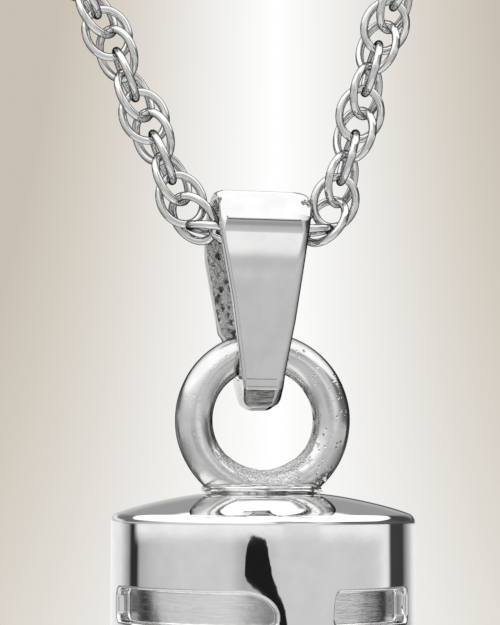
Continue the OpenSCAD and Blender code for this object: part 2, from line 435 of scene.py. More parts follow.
def urn_shell(materials):
    """The hollow urn with its domed cap and sunk panels, as one closed skin."""
    skin = Skin()
    chamber_top = SIDE_Z - CAP_WALL
    chamber_low = BASE_Z + BASE_WALL
    low_z, high_z = PANEL_LOW - CELL_MARGIN, PANEL_TOP + CELL_MARGIN
    inside = rounded_section([
        (0, chamber_top, 0), (CHAMBER_R, chamber_top, 0.3), (CHAMBER_R, chamber_low, 0.3),
        (HOLE_R, chamber_low, 0.06), (HOLE_R, BASE_Z + HEAD_SEAT_H, 0.06),
        (HEAD_SEAT_R, BASE_Z + HEAD_SEAT_H, 0.05), (HEAD_SEAT_R, BASE_Z, 0.08),
        (URN_R, BASE_Z, BASE_EDGE_R), (URN_R, low_z, 0)])
    rows = [ring_row(skin, *row) for row in inside[1:]]
    skin.close(rows[0][::-1], (0, 0, chamber_top), (0, 0, -1), slot=URN_INSIDE)
    for k, (low, high) in enumerate(zip(rows, rows[1:])):
        skin.join(low, high, slot=URN_INSIDE if k < SATIN_JOINS else 0)
    belt_low = rows[-1]
    belt_high = ring_row(skin, URN_R, high_z, 1, 0)

    step = 2 * pi * URN_R / COLUMNS
    columns = [round(angle * COLUMNS / 360) for angle in BAR_ANGLES]
    heights = [low_z + (high_z - low_z) * j / CELL_TALL for j in range(CELL_TALL + 1)]
    posts = []
    for column in columns:
        radial = facing(2 * pi * column / COLUMNS)
        points = [radial * URN_R + [0, 0, z] for z in heights[1:-1]]
        posts.append([belt_low[column]] + skin.row(points, [radial] * len(points)) + [belt_high[column]])
    for i, corners in enumerate(PANEL_CORNERS):
        j = (i + 1) % len(columns)
        turns = 1 if j == 0 else 0
        first, final = columns[i], columns[j] + COLUMNS * turns
        bar_first = radians(BAR_ANGLES[i]) * URN_R
        bar_final = radians(BAR_ANGLES[j] + 360 * turns) * URN_R
        span = range(first, final + 1)
        across, back = ([belt[k % COLUMNS] for k in span] for belt in (belt_low, belt_high))
        places = [k * step for k in span]
        loop_rim = across[:-1] + posts[j][:-1] + back[:0:-1] + posts[i][:0:-1]
        flat = [(s, low_z) for s in places[:-1]] + [(places[-1], z) for z in heights[:-1]]
        flat += [(s, high_z) for s in places[:0:-1]] + [(places[0], z) for z in heights[:0:-1]]
        loop = panel_loop(bar_first + BAR_HALF_W, bar_final - BAR_HALF_W, corners, final - first)
        panel_cell(skin, loop_rim, flat, loop, final - first)

    cap = [(URN_R, SIDE_Z - 0.9, 1, 0)]
    for k in range(RIM_STEPS + 1):
        a = RIM_START * k / RIM_STEPS
        c, s = cos(a), sin(a)
        cap.append((URN_R - RIM_R + RIM_R * c, SIDE_Z + RIM_R * s, c, s))
    r, z = cap[-1][:2]
    step_r = r / CAP_STEPS
    for _ in range(CAP_STEPS - 1):
        middle = radians(np.interp(r - step_r / 2, *zip(*CAP_SLOPES)))
        r, z = r - step_r, z + step_r * tan(middle)
        a = radians(np.interp(r, *zip(*CAP_SLOPES)))
        cap.append((r, z, sin(a), cos(a)))
    cap_rows = [belt_high] + [ring_row(skin, *row) for row in cap]
    skin.rows(cap_rows)
    skin.close(cap_rows[-1], (0, 0, z))
    return skin.build("urn", URN, materials, own_normals=True)


def lump(point, scale, seed):
    """A smooth random height between about -1 and 1 at a place."""
    return noise.noise(Vector([float(c) * scale + seed for c in point]))


def blob(skin, middle, half, slot):
    """A small rounded drop."""
    made = []
    for i in range(1, BLOB_ROWS):
        a = pi * i / BLOB_ROWS
        made.append(skin.row([middle + half * (sin(a) * facing(b) - [0, 0, cos(a)])
                              for b in whole_turn(BLOB_COLUMNS)]))
    skin.rows(made, slot=slot)
    skin.close(made[0][::-1], middle - [0, 0, half[2]], slot=slot)
    skin.close(made[-1], middle + [0, 0, half[2]], slot=slot)


def ring_and_collar(materials):
    """The cast ring with its lumpy solder, the collar under it and small spurs of solder."""
    skin = Skin()
    rows = []
    for u in whole_turn(RING_AROUND):
        line = np.array([RING_LINE_R * cos(u), 0, RING_LINE_R * sin(u)])
        low = limited((-sin(u) - 0.35) / 0.5)
        free = 1 - max(0.0, sin(u))
        points = []
        for v in whole_turn(RING_ACROSS):
            out = np.array([cos(v) * cos(u), sin(v), cos(v) * sin(u)])
            spot = line + RING_WIRE_R * out
            inner = max(0.0, -cos(v))
            size = RING_WIRE_R + free * (0.008 * lump(spot, 1.1, 3) + 0.002 * lump(spot, 5, 9))
            size += (0.006 + 0.022 * inner) * low * (lump(spot, 4.5, 5) + 0.6 * lump(spot, 10, 2))
            size += 0.04 * low * low * inner
            points.append(line + size * out)
        rows.append(skin.row(turned(points, RING_TURN) + [0, 0, RING_Z]))
    for i, u in enumerate(whole_turn(RING_AROUND)):
        for k, v in enumerate(whole_turn(RING_ACROSS)):
            reach = 0.85 * max(0.0, -sin(u) - 0.15) + 0.3 * lump((3 * u, 2 * v, 0.0), 1.5, 5)
            beside = (k + 1) % RING_ACROSS
            skin.face(rows[i - 1][k], rows[i - 1][beside], rows[i][beside], rows[i][k],
                      slot=RING_SOLDER if cos(v) < reach - 1 else 0)

    def rough(a, r, z):
        spot = r * facing(a) + [0, 0, z]
        return 0.03 * lump(spot, 1.1, 1) + 0.012 * lump(spot, 3, 4)

    top, foot = COLLAR_TOP_Z, DOME_Z - 0.02
    section = [(0.6, top, 0, 1), (1.2, top + 0.01, 0, 1), (1.65, top - 0.01, 0.1, 1),
               (1.85, top - 0.04, 0.3, 1), (1.95, top - 0.09, 0.6, 0.8), (2.0, top - 0.16, 1, 0),
               (1.98, top - 0.22, 0.8, -0.5), (1.92, top - 0.27, 0.4, -0.9),
               (1.84, top - 0.31, 0.6, -0.6), (1.82, top - 0.35, 1, 0.1), (1.88, top - 0.37, 0.6, 0.8),
               (2.02, foot + 0.01, 0.3, 0.95), (2.2, foot - 0.01, 0.2, 1), (2.26, foot - 0.1, 0.6, 0.8)]
    collar = [ring_row(skin, *row, COLLAR_COLUMNS, wobble=rough, shift_x=COLLAR_SHIFT) for row in section]
    skin.close(collar[0], (COLLAR_SHIFT, 0, top), slot=RING_COLLAR)
    skin.rows([row[::-1] for row in collar], slot=RING_COLLAR)
    skin.close(collar[-1][::-1], (COLLAR_SHIFT, 0, DOME_Z - 0.3), slot=RING_COLLAR)
    for spot, size in SPURS:
        blob(skin, np.array(spot), np.array(size), slot=RING_COLLAR)
    return skin.build("ring", URN, materials)


def loop_line(top_z, top_r, tip_z, tip_r):
    """Side outline of one of the bail's loops as (y, z, normal y, normal z), from the top round the back."""
    lean = asin(-(top_r - tip_r) / (top_z - tip_z))
    line = []

    def on(centre_z, radius, angle):
        c, s = cos(angle), sin(angle)
        return (radius * c, centre_z + radius * s, c, s)

    def leg(start, end):
        for k in range(LEG_STEPS):
            line.append(tuple(a + (b - a) * k / LEG_STEPS for a, b in zip(start, end)))

    for k in range(TOP_STEPS):
        line.append(on(top_z, top_r, pi / 2 - (pi / 2 - lean) * k / TOP_STEPS))
    leg(on(top_z, top_r, lean), on(tip_z, tip_r, lean))
    for k in range(TIP_STEPS):
        line.append(on(tip_z, tip_r, lean - (pi + 2 * lean) * k / TIP_STEPS))
    leg(on(tip_z, tip_r, pi - lean), on(top_z, top_r, pi - lean))
    for k in range(TOP_STEPS):
        line.append(on(top_z, top_r, pi - lean - (pi / 2 - lean) * k / TOP_STEPS))
    return line


def facet_tip(point, centre_z, radius):
    """Moves a point of the tip's outer round to the flat facet that is filed on its front."""
    down = atan2(-point[3], -point[2])
    if not FACET[0] < down < FACET[1]:
        return point
    middle = (FACET[0] + FACET[1]) / 2
    reach = radius * cos((FACET[1] - FACET[0]) / 2)
    scale = reach / cos(down - middle)
    return (-scale * cos(down), centre_z - scale * sin(down), -cos(middle), -sin(middle))


def bail_sides(y, z):
    """How far the strip reaches to the left and to the right at a place of its outline."""
    half = (BAIL_TIP_W + (BAIL_TOP_W - BAIL_TIP_W) * (z - BAIL_TIP_Z) / (BAIL_TOP_Z - BAIL_TIP_Z)) / 2
    back, front = limited(y / 0.5), limited(-y / 0.5)
    left = back * np.interp(z, *zip(*MORE_LEFT_BACK)) + front * np.interp(z, *zip(*MORE_LEFT_FRONT))
    return half + left, half + front * np.interp(z, *zip(*MORE_RIGHT_FRONT))


def front_bulge(z):
    """Height of the front's fullness at a height, and its slope upwards."""
    if z > BULGE_TOP or z < BULGE_END:
        return 0.0, 0.0
    if z > BULGE_FULL:
        span = BULGE_TOP - BULGE_FULL
        share = (z - BULGE_FULL) / span
        return BULGE * (1 - share ** BULGE_POWER), -BULGE * BULGE_POWER * share ** (BULGE_POWER - 1) / span
    span = BULGE_FULL - BULGE_END
    share = (z - BULGE_END) / span
    return BULGE * share * share * (3 - 2 * share), BULGE * 6 * share * (1 - share) / span


def early_bend(z, n_z):
    """How much the front already leans back at a height just under its bend."""
    return BEND_EARLY * limited((z - BEND_LOW) / (EYE_Z - BEND_LOW)) * max(0.0, 1 - n_z / BEND_FADE)


def bail_strip(materials):
    """The tapered strip folded over the chain, with softened edges, a rough inside and a filed tip."""
    skin = Skin()
    tip_middle = BAIL_TIP_Z + BAIL_TIP_R
    outer = loop_line(EYE_Z, BAIL_TOP_R, tip_middle, BAIL_TIP_R)
    inner = loop_line(EYE_Z, EYE_R, SEAT_Z, SEAT_R)
    slope = (BAIL_TOP_W - BAIL_TIP_W) / (BAIL_TOP_Z - BAIL_TIP_Z) / 2
    right_flank = unit([1, 0, -slope])
    left_flank = right_flank * [-1, 1, 1]
    rows, filed, shaded = [], [], []
    for round_point, in_point in zip(outer, inner):
        out_point = facet_tip(round_point, tip_middle, BAIL_TIP_R)
        filed.append(out_point is not round_point)
        y, z, n_y, n_z = out_point
        outside, out_n = np.array([0, y, z]), np.array([0, n_y, n_z])
        inside, in_n = np.array([0, *in_point[:2]]), -np.array([0, *in_point[2:]])
        # The edges are widest over the crown and the bend, and worn round where the ring hangs
        crown = max(0.0, n_z) ** 3
        front = limited(-3 * n_y)
        bend = limited(5 * n_z) * front
        worn = limited(WORN_TOP - in_point[1])
        right_w = 0.1 + 0.2 * front + 0.25 * crown + 0.14 * bend
        left_w = right_w - 0.18 * front
        edge_t = 0.05 + 0.13 * front + 0.12 * crown + 0.05 * bend
        edge_t = min(edge_t, 0.55 * np.linalg.norm(outside - inside))
        inner_w, inner_t = 0.05 + 0.13 * worn, 0.05 + 0.03 * worn
        shaded.append(front > 0.5 and n_z < 0.3)
        if y < 0 and not filed[-1]:
            bulge, slope_n = front_bulge(z)
            outside += bulge * out_n
            out_n = unit(out_n - (slope_n - early_bend(z, n_z)) * np.array([0, out_n[2], -out_n[1]]))
        drop = max(0.0, BAIL_TIP_Z + TIP_CORNER_R - z)
        corner = TIP_CORNER_R - sqrt(max(0.0, TIP_CORNER_R ** 2 - drop ** 2))
        left_o, right_o = (side - corner for side in bail_sides(y, z))
        left_i, right_i = bail_sides(*in_point[:2])
        points, normals = [], []

        def put(x, base, depth, direction, out):
            points.append(base + [x, 0, 0] + depth * direction)
            normals.append(out)

        def edge(base, direction, flank, reach, wide, deep, shares):
            """One rounded edge, through its shares of the way from the flank to the face."""
            side = copysign(1, flank[0])
            for share in shares:
                a = pi / 2 * share
                x = side * (reach - wide * (1 - cos(a)))
                out = unit(flank * cos(a) / wide + direction * sin(a) / deep)
                put(x, base, -deep * (1 - sin(a)), direction, out)

        rising = [k / EDGE_STEPS for k in range(EDGE_STEPS + 1)]
        edge(outside, out_n, right_flank, right_o, right_w, edge_t, rising)
        for k in range(1, FACE_STEPS):
            share = k / FACE_STEPS
            x = (right_o - right_w) * (1 - share) - (left_o - left_w) * share
            put(x, outside, 0, out_n, out_n)
        edge(outside, out_n, left_flank, left_o, left_w, edge_t, rising[::-1])
        edge(inside, in_n, left_flank, left_i, inner_w, inner_t, rising)
        for k in range(1, INNER_STEPS):
            share = k / INNER_STEPS
            x = (right_i - inner_w) * share - (left_i - inner_w) * (1 - share)
            spot = inside + [x, 0, 0]
            grain = INSIDE_GRAIN * lump(spot, 4, 11) + INSIDE_GRAIN * lump(spot, 9, 12)
            put(x, inside, grain - INSIDE_SUNK, in_n, in_n)
        edge(inside, in_n, right_flank, right_i, inner_w, inner_t, rising[::-1])
        rows.append(skin.row(turned(points, BAIL_TURN), turned(normals, BAIL_TURN)))
    left_edge = EDGE_STEPS + FACE_STEPS
    inner_first = left_edge + 2 * EDGE_STEPS + 1
    for k in range(len(rows)):
        low, high = rows[k - 1], rows[k]
        for i in range(len(low)):
            j = (i + 1) % len(low)
            slot = BAIL_INSIDE if inner_first <= i < inner_first + INNER_STEPS else 0
            # The filed facet on the tip's front takes a darker silver: its filing marks and painted shade
            if filed[k - 1] and filed[k] and 2 <= i <= left_edge + EDGE_STEPS - 2:
                slot = BAIL_FILED
            # Painted shade: the right edge of the bail's front under its bend takes a darker copy of the
            # bail's silver
            if shaded[k - 1] and i < EDGE_STEPS:
                slot = BAIL_SHADED_EDGE
            skin.face(low[i], high[i], high[j], low[j], slot=slot)
    return skin.build("bail_strip", HANG, materials, own_normals=True)


def chain_line():
    """The chain's smooth centre line, from the right of the clasp round to its left."""
    points = [(CLASP_END, 0, 0), *ROUTE_SIDE, *ROUTE_RIGHT]
    points += [HANG + p for p in np.array(ROUTE_BAIL)]
    points += [*ROUTE_LEFT, *((-x, y, z) for x, y, z in reversed(ROUTE_SIDE)), (-CLASP_END, 0, 0)]
    points = [np.array(p, float) for p in points]
    line = []
    for i in range(len(points) - 1):
        a, b, c, d = (points[max(0, min(len(points) - 1, i + k))] for k in (-1, 0, 1, 2))
        for k in range(ROUTE_STEPS):
            t = k / ROUTE_STEPS
            line.append(0.5 * (2 * b + (c - a) * t + (2 * a - 5 * b + 4 * c - d) * t * t
                               + (3 * b - a - 3 * c + d) * t ** 3))
    line.append(points[-1])
    return np.array(line)


def link_places():
    """Middle, direction and open side of each link, with its distance along the chain from the bail."""
    line = chain_line()
    lengths = np.concatenate([[0], np.cumsum(np.linalg.norm(np.diff(line, axis=0), axis=1))])
    tangents = np.gradient(line, axis=0)
    tangents /= np.linalg.norm(tangents, axis=1)[:, None]
    middle = int(np.argmin(np.linalg.norm(line - HANG, axis=1)))
    sides = np.zeros_like(line)
    sides[middle] = unit(np.cross(tangents[middle], [0, -1, 0]))
    for step in (1, -1):
        i = middle
        while 0 <= i + step < len(line):
            i += step
            sides[i] = unit(sides[i - step] - tangents[i] * (sides[i - step] @ tangents[i]))

    def at_height(height, indices):
        return min(indices, key=lambda i: abs(line[i][2] - HANG[2] - height))

    open_right = lengths[at_height(OPEN_RIGHT_Z, range(middle - OPEN_SEARCH, middle))]
    open_left = lengths[at_height(OPEN_LEFT_Z, range(middle, middle + OPEN_SEARCH))]
    repeats = round((open_left - open_right) / (4 * LINK_PITCH))
    pitch = (open_left - open_right) / (4 * repeats)
    first = ceil((END_GAP - open_right) / pitch)
    last = floor((lengths[-1] - END_GAP - open_right) / pitch)
    places = []
    for k in range(first, last + 1):
        s = open_right + k * pitch
        at, tangent, side = (np.array([np.interp(s, lengths, values[:, c]) for c in range(3)])
                             for values in (line, tangents, sides))
        tangent = unit(tangent)
        side = unit(side - tangent * (side @ tangent))
        angle = LINK_TURN * k
        across = cos(angle) * side + sin(angle) * np.cross(tangent, side)
        places.append((at, tangent, across, s - lengths[middle]))
    return places, lengths[-1]


def rope_chain(materials):
    """The loose rope chain: each oval link is turned an eighth of a turn and holds the two before it."""
    random.seed(7)
    places, length = link_places()
    skin = Skin()
    for at, tangent, across, distance in places:
        near = abs(distance) < FINE_REACH
        around, sides, wire_r = FINE_LINK if near else FAR_LINK
        shift = LINK_SHIFT if near else 0.0
        at = at + np.array([random.uniform(-shift, shift) for _ in range(3)])
        lean = random.uniform(-LINK_LEAN, LINK_LEAN) if near else 0.0
        tangent = unit(tangent + lean * across)
        across = unit(across - tangent * (across @ tangent))
        face = np.cross(tangent, across)
        rows = []
        for a in whole_turn(around):
            along = LINK_HALF_L * sin(a) * tangent + LINK_HALF_W * cos(a) * across
            out = unit(sin(a) / LINK_HALF_L * tangent + cos(a) / LINK_HALF_W * across)
            rows.append(skin.row([at + along + wire_r * (cos(b) * out + sin(b) * face)
                                  for b in whole_turn(sides)]))
        for i in range(around):
            skin.join(rows[i], rows[i - 1])
    print("chain length", round(length, 1), "links", len(places))
    return skin.build("rope_chain", (0, 0, 0), materials)


def lathe(skin, section, axes):
    """Turns a section round the third axis; its first and last points are the tips."""
    rows = [skin.row([r * cos(a) * axes[0] + r * sin(a) * axes[1] + z * axes[2]
                      for a in whole_turn(LATHE_COLUMNS)]) for r, z, *_ in section[1:] if r > 0]
    skin.rows(rows)
    skin.close(rows[0][::-1], section[0][1] * axes[2])
    skin.close(rows[-1], section[-1][1] * axes[2])


def clasp_piece(materials):
    """A plain spring ring with a knob, and two caps that hold the chain's ends."""
    skin = Skin()
    line_r = CLASP_R - CLASP_WIRE_R
    rows = []
    for u in whole_turn(CLASP_AROUND):
        points = []
        groove = min(abs(degrees(u) - at) for at in GROOVE_ANGLES)
        size = CLASP_WIRE_R * (GROOVE_SHARE if groove < GROOVE_HALF else 1)
        for v in whole_turn(CLASP_ACROSS):
            reach = line_r + size * cos(v)
            points.append((reach * cos(u), size * sin(v), reach * sin(u)))
        rows.append(skin.row(points))
    for i in range(CLASP_AROUND):
        skin.join(rows[i - 1], rows[i])
    cap = rounded_section([
        (0, 2.5, 0), (0.45, 2.5, 0.1), (0.5, 3.1, 0.1), (0.85, 3.35, 0.12), (0.85, 3.6, 0.05),
        (0.8, 3.66, 0.05), (0.8, 3.74, 0.05), (0.85, 3.8, 0.05), (0.85, 5.0, 0.12), (0.5, 5.0, 0.05),
        (0.5, 4.3, 0)])
    knob = rounded_section([
        (0, 3.0, 0), (0.2, 3.0, 0), (0.2, 3.45, 0.03), (0.35, 3.5, 0.1), (0.35, 3.9, 0.12), (0, 4.0, 0)])
    for side in (1, -1):
        lathe(skin, cap, np.array([[0, 0, 1], [0, side, 0], [side, 0, 0]]))
    slant = sqrt(0.5)
    lathe(skin, knob, np.array([[slant, 0, -slant], [0, 1, 0], [slant, 0, slant]]))
    return skin.build("spring_ring", (0, 0, 0), materials)


def plug_piece(materials):
    """The filler plug: a slotted head with softened edges and a fine thread on its shank."""
    skin = Skin()
    place = URN + [0, 0, BASE_Z]
    thread = [(SHANK_R - THREAD_DEEP * (1 - k % 2), HEAD_H + THREAD_LOW + THREAD_STEP * k, 0)
              for k in range(THREAD_ROWS)]
    section = rounded_section([(HEAD_R - 0.08, 0.0, 0), (HEAD_R, 0.08, 0.02), (HEAD_R, HEAD_H, 0.04),
                               (SHANK_R, HEAD_H, 0.05), *thread, (1.3, PLUG_H, 0.04), (0, PLUG_H, 0)])
    rows = [skin.row([r * facing(a) + [0, 0, z] for a in whole_turn(PLUG_COLUMNS)])
            for r, z in [(0.7, 0.0), (1.4, 0.0)] + [row[:2] for row in section] if r > 0]
    skin.rows(rows)
    skin.close(rows[-1], (0, 0, PLUG_H))
    skin.close(rows[0][::-1], (0, 0, 0.0))
    piece = skin.build("plug", place, materials)
    box = Skin()
    for x in (-SLOT_HALF_L, SLOT_HALF_L):
        box.row([(x, y, z) for y in (-SLOT_HALF_W, SLOT_HALF_W) for z in (-0.5, SLOT_DEEP)])
    for corners in ((0, 1, 3, 2), (4, 6, 7, 5), (0, 4, 5, 1), (2, 3, 7, 6), (0, 2, 6, 4), (1, 5, 7, 3)):
        box.face(*corners)
    cutter = box.build("slot_cut", place, [])
    boolean = piece.modifiers.new("slot", "BOOLEAN")
    boolean.operation = "DIFFERENCE"
    boolean.object = cutter
    boolean.solver = "EXACT"
    evaluated = piece.evaluated_get(bpy.context.evaluated_depsgraph_get())
    mesh = bpy.data.meshes.new_from_object(evaluated)
    piece.modifiers.clear()
    piece.data = mesh
    bpy.data.objects.remove(cutter)
    return piece


class Nodes:
    """Short calls for building a material's or world's nodes."""

    def __init__(self, owner):
        owner.use_nodes = True
        self.tree = owner.node_tree
        self.tree.nodes.clear()

    def add(self, kind, inputs=None, **settings):
        node = self.tree.nodes.new("ShaderNode" + kind)
        for key, value in settings.items():
            setattr(node, key, value)
        for key, value in (inputs or {}).items():
            if isinstance(value, bpy.types.NodeSocket):
                self.tree.links.new(value, node.inputs[key])
            else:
                node.inputs[key].default_value = value
        return node

    def math(self, operation, a, b=0, c=0):
        return self.add("Math", {0: a, 1: b, 2: c}, operation=operation).outputs[0]

    def ramp(self, factor, stops):
        """A shade or colour by a factor, through stops of (position, value)."""
        node = self.add("ValToRGB", {0: factor})
        elements = node.color_ramp.elements
        while len(elements) < len(stops):
            elements.new(0.5)
        for element, (position, value) in zip(elements, stops):
            element.position = position
            element.color = (*value, 1) if isinstance(value, tuple) else (value, value, value, 1)
        return node.outputs[0]

    def smooth(self, value, low, high, start=0, end=1):
        inputs = {0: value, 1: low, 2: high, 3: start, 4: end}
        return self.add("MapRange", inputs, interpolation_type="SMOOTHSTEP").outputs[0]

    def mix(self, factor, a, b):
        return self.add("Mix", {0: factor, 2: a, 3: b}, data_type="FLOAT").outputs[0]

    def times(self, color, shade):
        return self.add("MixRGB", {0: 1, 1: color, 2: shade}, blend_type="MULTIPLY").outputs[0]

    def noise(self, vector, scale, detail=3, roughness=0.5, stretch=None, distortion=0):
        if stretch:
            vector = self.add("Mapping", {"Vector": vector, "Scale": stretch}).outputs[0]
        inputs = {"Vector": vector, "Scale": scale, "Detail": detail, "Roughness": roughness,
                  "Distortion": distortion}
        return self.add("TexNoise", inputs).outputs["Fac"]


# Number of pits and of casting holes for each millimetre
PIT_SCALE = 4.5
SPOT_SCALE = 5
# Painted shade on the sunk panels: darker at the left end, leaning by this much for each millimetre up,
# and at the right end of the front's two panels, each up to its shade, with a bar between them
LEFT_END = (-3.2, -2.5)
LEFT_END_LEAN = 0.35
RIGHT_ENDS = ((-0.55, 0.7), (3.1, 3.8))
RIGHT_END_SHADE = 0.42
PANEL_BAR = (1, 1.2)


def silver(name, color, base_rough, rough_range, waves, grain, pits=0, scratches=0, stretch=(1, 1, 1),
           streak=1, spots=0, edge=1, edge_span=(0.25, 0.9), painted_end_shade=1):
    """A silver surface. waves, grain, pits, scratches and spots are bump heights in millimetres.

    streak is the shade of the darkest scratches. spots are small casting holes, most of them on the
    right. edge is the painted shade that the surface has where it turns away from the eye, over edge_span.
    painted_end_shade is the painted shade at the left end of the front's first sunk panel.
    """
    material = bpy.data.materials.new(name)
    n = Nodes(material)
    place = n.add("TexCoord").outputs["Object"]
    place = n.add("VectorMath", {0: place, 3: 1 / MM}, operation="SCALE").outputs[0]
    across, _, up = n.add("SeparateXYZ", {0: place}).outputs
    height = n.math("MULTIPLY", n.noise(place, 0.9, 2), waves)
    height = n.math("MULTIPLY_ADD", n.noise(place, 9, stretch=stretch), grain, height)
    rough = n.math("MULTIPLY_ADD", n.noise(place, 3, 4, 0.6), rough_range, base_rough)
    tint = n.times((*color, 1), n.smooth(n.noise(place, 1.7), 0.3, 0.7, 0.94, 1))
    if scratches:
        lines = n.noise(place, 22, 3, 0.6, stretch=stretch, distortion=0.6)
        height = n.math("MULTIPLY_ADD", lines, scratches, height)
        tint = n.times(tint, n.smooth(lines, 0.35, 0.6, streak, 1))
    if pits:
        cells = n.add("TexVoronoi", {"Vector": place, "Scale": PIT_SCALE}, feature="SMOOTH_F1")
        patch = n.noise(place, PIT_SCALE * 0.7, 5, 0.65)
        dents = n.math("MULTIPLY", n.smooth(cells.outputs["Distance"], 0.1, 0.5), patch)
        height = n.math("MULTIPLY_ADD", dents, pits, height)
        tint = n.times(tint, n.smooth(dents, 0, 0.3, 0.2, 1))
    # Painted shade: the sunk panels are darker at their left and right ends
    if painted_end_shade < 1:
        above = n.math("SUBTRACT", up, float(URN[2]) + PANEL_LOW)
        slanted = n.math("MULTIPLY_ADD", above, LEFT_END_LEAN, across)
        slanted = n.math("MULTIPLY_ADD", n.noise(place, 5, 4, 0.6), 0.5, slanted)
        tint = n.times(tint, n.smooth(slanted, *LEFT_END, painted_end_shade, 1))
        ragged = n.math("MULTIPLY_ADD", n.noise(place, 4, 4, 0.6), 0.5, across)
        first, second = (n.smooth(ragged, *span, 1, RIGHT_END_SHADE) for span in RIGHT_ENDS)
        tint = n.times(tint, n.mix(n.smooth(across, *PANEL_BAR), first, 1))
        tint = n.times(tint, second)
    # Painted shade: darker where the surface turns away from the eye
    if edge < 1:
        away = n.add("LayerWeight", {"Blend": 0.5}).outputs["Facing"]
        tint = n.times(tint, n.smooth(away, *edge_span, 1, edge))
    if spots:
        cells = n.add("TexVoronoi", {"Vector": place, "Scale": SPOT_SCALE, "Randomness": 1})
        right = n.smooth(across, -1.5, 1.2, 0.15, 1)
        part = n.math("MULTIPLY", n.smooth(n.noise(place, 1.6, 3, 0.6), 0.42, 0.56), right)
        holes = n.math("MULTIPLY", n.smooth(cells.outputs["Distance"], 0.32, 0.1), part)
        height = n.math("SUBTRACT", height, n.math("MULTIPLY", holes, spots))
        tint = n.times(tint, n.smooth(holes, 0.3, 1, 1, 0.55))
    bump = n.add("Bump", {"Height": height, "Distance": MM, "Strength": 1}).outputs[0]
    shader = n.add("BsdfPrincipled", {"Base Color": tint, "Metallic": 1, "Roughness": rough, "Normal": bump,
                                      "Specular Tint": (edge, edge, edge, 1)})
    n.add("OutputMaterial", {0: shader.outputs[0]})
    return material


# The studio that the silver mirrors, each table with shades by azimuth in degrees: 0 is the front and 90
# the right. From the floor up: under the level, at it, just over it, and the cards over these.
BELOW = ((-180, 0.4), (-130, 0.25), (-85, 0.35), (-30, 0.62), (40, 0.62), (85, 0.35), (130, 0.25), (180, 0.4))
LEVEL = (
    (-176, 0.4), (-168, 0.98), (-144, 0.87), (-133, 0.8), (-127, 0.6), (-119, 0.3), (-116, 0.03),
    (-108, 0.03), (-104, 0.42), (-91, 0.57), (-62, 0.65), (-24, 0.65), (-14, 0.44), (8, 0.6), (13, 0.65),
    (60, 0.64), (86, 0.62), (95, 0.7), (102, 0.86), (106.5, 0.8), (110, 0.05), (128, 0.045), (138, 0.4),
    (152, 0.82), (170, 0.9))
HORIZON = (
    (-176, 0.4), (-168, 0.95), (-134, 0.8), (-124, 0.1), (-110, 0.4), (-69, 0.62), (-20, 0.62), (38, 0.62),
    (52, 0.5), (70, 0.36), (88, 0.3), (98, 0.15), (106, 0.07), (155, 0.07), (180, 0.3))
OVER_HORIZON = ((12, 0.62), (18, 1.06), (36, 1.06), (48, 0.6), (70, 0.3), (80, 0.1))
CARD_LOW = (
    (-170, 0.5), (-164, 0.9), (-136, 0.8), (-126, 0.12), (-110, 0.16), (-98, 0.4), (-60, 0.7),
    (-16, 0.75), (40, 0.68), (55, 0.4), (70, 0.2), (105, 0.15), (130, 0.06), (150, 0.06), (166, 0.38),
    (180, 0.5))
CARD_HIGH = (
    (-166, 0.34), (-150, 0.18), (-115, 0.16), (-92, 0.55), (-60, 0.8), (-16, 0.95), (6, 0.9),
    (12, 0.44), (34, 0.44), (42, 0.72), (54, 0.6), (64, 0.12), (100, 0.12), (130, 0.06), (150, 0.06),
    (166, 0.33), (180, 0.34))
# The elevations in degrees over which each table takes over from the ones under it
LEVEL_SPAN = (-16, -9)
BANDS = ((-1.32, -1.2, HORIZON), (1.2, 3.2, OVER_HORIZON), (6.2, 9, CARD_LOW), (10, 16, CARD_HIGH))
# Where the white ceiling starts, as a share of the way up, and its brightness
CEILING_EDGE = (
    (-176.6, 0.265), (-175.6, 0.35), (-160, 0.36), (-140, 0.34), (-120, 0.25), (-60, 0.25),
    (-5, 0.28), (8, 0.45), (22.5, 0.45), (25.5, 0.42), (35, 0.41), (60, 0.33), (85, 0.28), (100, 0.25),
    (120, 0.3), (140, 0.36), (160, 0.36), (175.6, 0.35), (176.6, 0.265))
CEILING = 1.25
# Where the light line under the horizon shows, its elevations and its brightness
RIM_LIGHT = ((-112, 0), (-106, 1), (12, 1), (16, 0.5), (40, 0.5), (44, 1), (101, 1), (107, 0))
RIM_LIGHT_SPAN = (-2, -1.4)
RIM_LIGHT_SHADE = 0.9
# The card that only the bail's front mirrors: its azimuths, and its shades by elevation over 40 degrees
BEND_PART = ((12, 0), (17, 1), (34, 1), (42, 0))
BEND_CARD = ((0.18, 0.72), (0.32, 0.64), (0.52, 0.6), (0.62, 0.41), (0.72, 0.37), (0.8, 0.47), (0.88, 0.57))
# Dark lines that the bail's front mirrors: degrees under the level, half width, strength, and azimuths
DARK_LINES = ((8.3, 0.5, 0.4), (33, 2, 0.6))
LINE_PART = ((13, 0), (18, 1), (32, 1), (38, 0))
# The dark slit between two cards: its edges by depth over 10 degrees, in hundreds of degrees from a start
SLIT_LEFT = (
    (0.168, 0.2), (0.174, 0.167), (0.196, 0.148), (0.239, 0.135), (0.293, 0.13), (0.314, 0.153),
    (0.33, 0.198), (0.347, 0.242), (0.368, 0.291), (0.4, 0.34), (0.46, 0.377), (1, 0.56))
SLIT_RIGHT = (
    (0, 0.2), (0.168, 0.23), (0.174, 0.269), (0.196, 0.288), (0.239, 0.298), (0.293, 0.323), (0.347, 0.367),
    (0.368, 0.392), (0.4, 0.417), (0.46, 0.437), (1, 0.63))
SLIT_LEFT_START, SLIT_RIGHT_START = -26.5, -25.5
# The softness of its sides, the depths over which it fades in and out, and its shade
SLIT_SOFT = 0.3
SLIT_TOP, SLIT_FOOT = (1.67, 1.71), (9, 7)
SLIT_SHADE = 0.012
